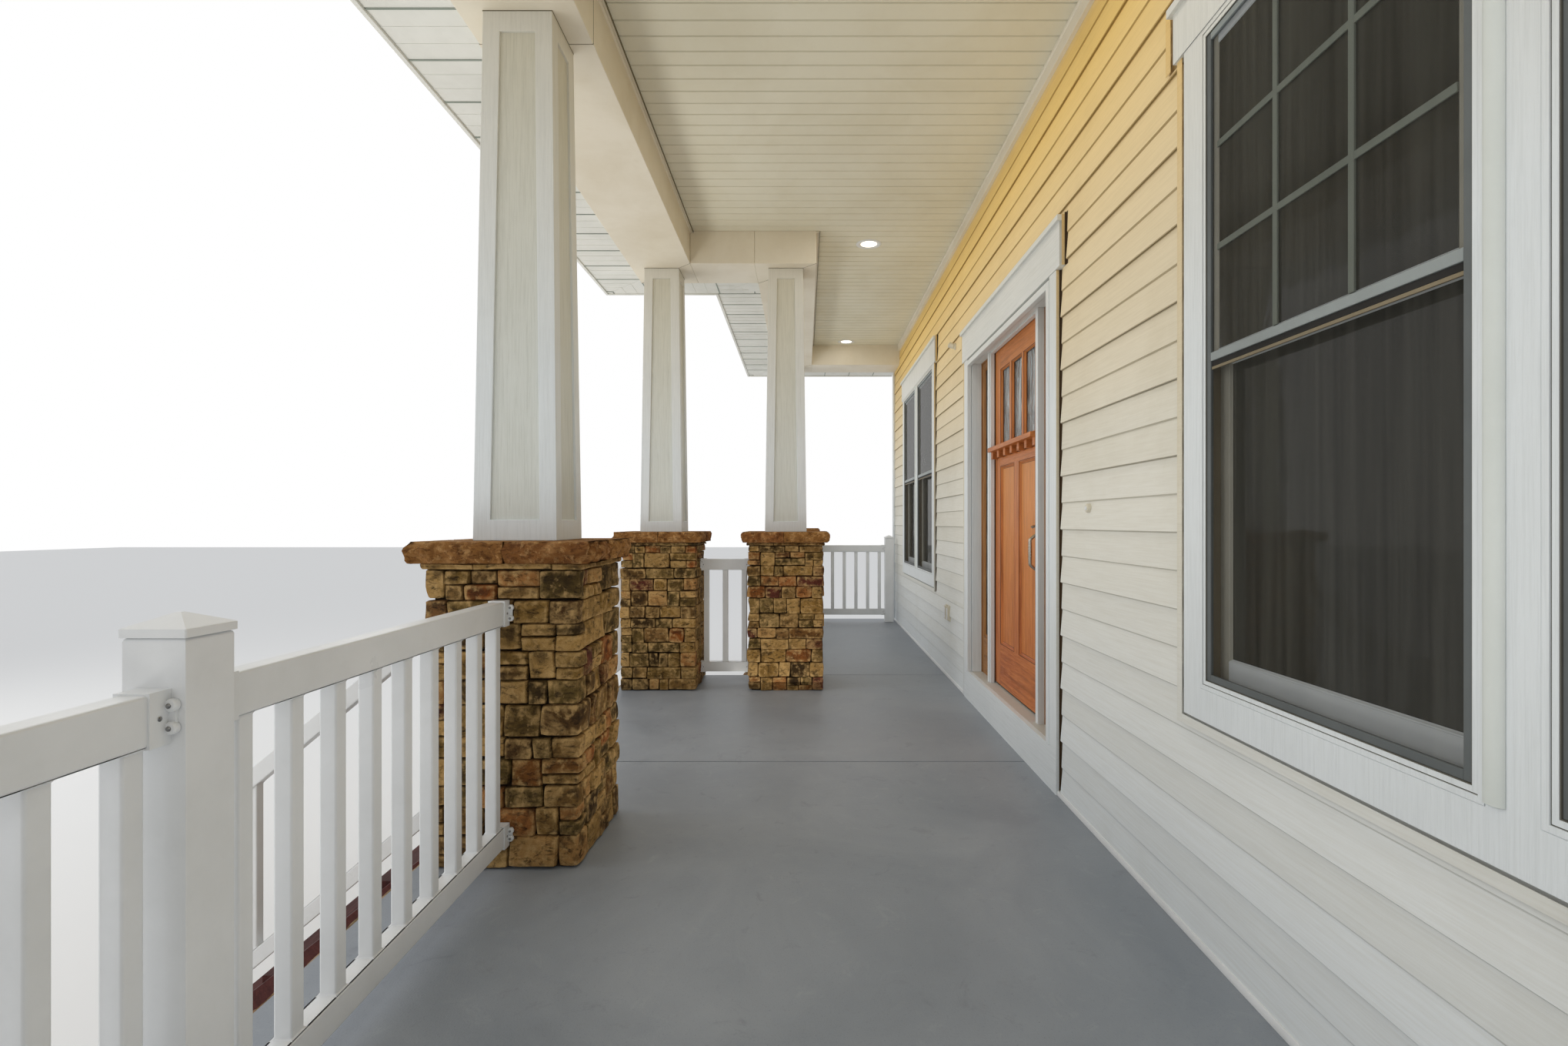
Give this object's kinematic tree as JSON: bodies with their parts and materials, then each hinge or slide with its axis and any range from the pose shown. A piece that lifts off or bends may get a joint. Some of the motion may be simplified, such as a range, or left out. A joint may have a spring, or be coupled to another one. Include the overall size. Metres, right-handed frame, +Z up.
{
  "type": "covered front porch",
  "caption": "Covered house porch: stone piers with tapered columns, boxed beams, railings, stairs, and a wall with an entrance door and double windows.",
  "frame": {"origin": "ground level, in the outer face of the house wall, under the middle of the door", "axes": "+X along the house wall towards the wide end, +Y into the house, +Z up"},
  "size_m": [10.749, 3.6926, 5.2],
  "materials": {
    "ledge_stone": "split-faced stone veneer with dark joints",
    "concrete": "cast concrete",
    "floor_paint": "painted concrete, blue-grey",
    "cap_stone": "rough reddish brown cap stone",
    "white_wood": "white paint over wood grain",
    "white_metal": "white coated sheet metal",
    "soffit_vinyl": "grooved off-white panels",
    "rafter_wood": "sawn softwood",
    "shingles": "grey mineral shingles",
    "siding": "cream lap siding",
    "sill_metal": "weathered mill finish",
    "door_wood": "orange-brown stained wood, satin",
    "door_glass": "wavy obscured glass",
    "window_vinyl": "pale grey frames behind insect screens",
    "window_glass": "dark glass behind insect screens",
    "rail_vinyl": "smooth white vinyl",
    "stair_paint": "dark red-brown painted boards",
    "fitting_plastic": "small plastic covers",
    "hardware": "satin nickel"
  },
  "bodies": {
    "porch": {"foundation": "ledge_stone", "house_base": "concrete", "porch_slab": "floor_paint", "piers": "ledge_stone", "pier_caps": "cap_stone", "columns": "white_wood", "long_beams": "white_metal", "cross_beams": "white_metal", "ceiling": "soffit_vinyl", "ceiling_lights": "white_metal", "soffits": "soffit_vinyl", "fascias": "white_metal", "rafters": "rafter_wood", "roof_covering": "shingles", "wall_uprights": "siding", "wall_heads": "siding", "wall_sills": "siding", "corner_posts": "white_wood", "door_jambs": "white_wood", "door_stops": "white_wood", "door_head": "white_wood", "door_sill": "sill_metal", "skirt_board": "white_wood", "door_casings": "white_wood", "door_head_board": "white_wood", "sidelite_frames": "door_wood", "sidelite_glass": "door_glass", "jamb_hinges": "hardware", "window_casings": "white_wood", "window_frames": "window_vinyl", "window_sashes": "window_vinyl", "window_glass": "window_glass", "railings": "rail_vinyl", "stair_rails": "rail_vinyl", "rail_posts": "rail_vinyl", "post_caps": "rail_vinyl", "stringers": "stair_paint", "treads": "stair_paint", "risers": "stair_paint", "wall_fittings": "fitting_plastic"},
    "door": {"door_leaf": "door_wood", "door_glass": "door_glass", "door_shelf": "door_wood", "door_handle": "hardware", "door_hinges": "hardware"}
  },
  "joints": [
    {"name": "door_swing", "type": "hinge", "parent": "porch", "child": "door", "pos_m": [-0.4605, 0.1195, 2.121], "axis": [0, 0, 1], "range_deg": [0, 95]}
  ]
}
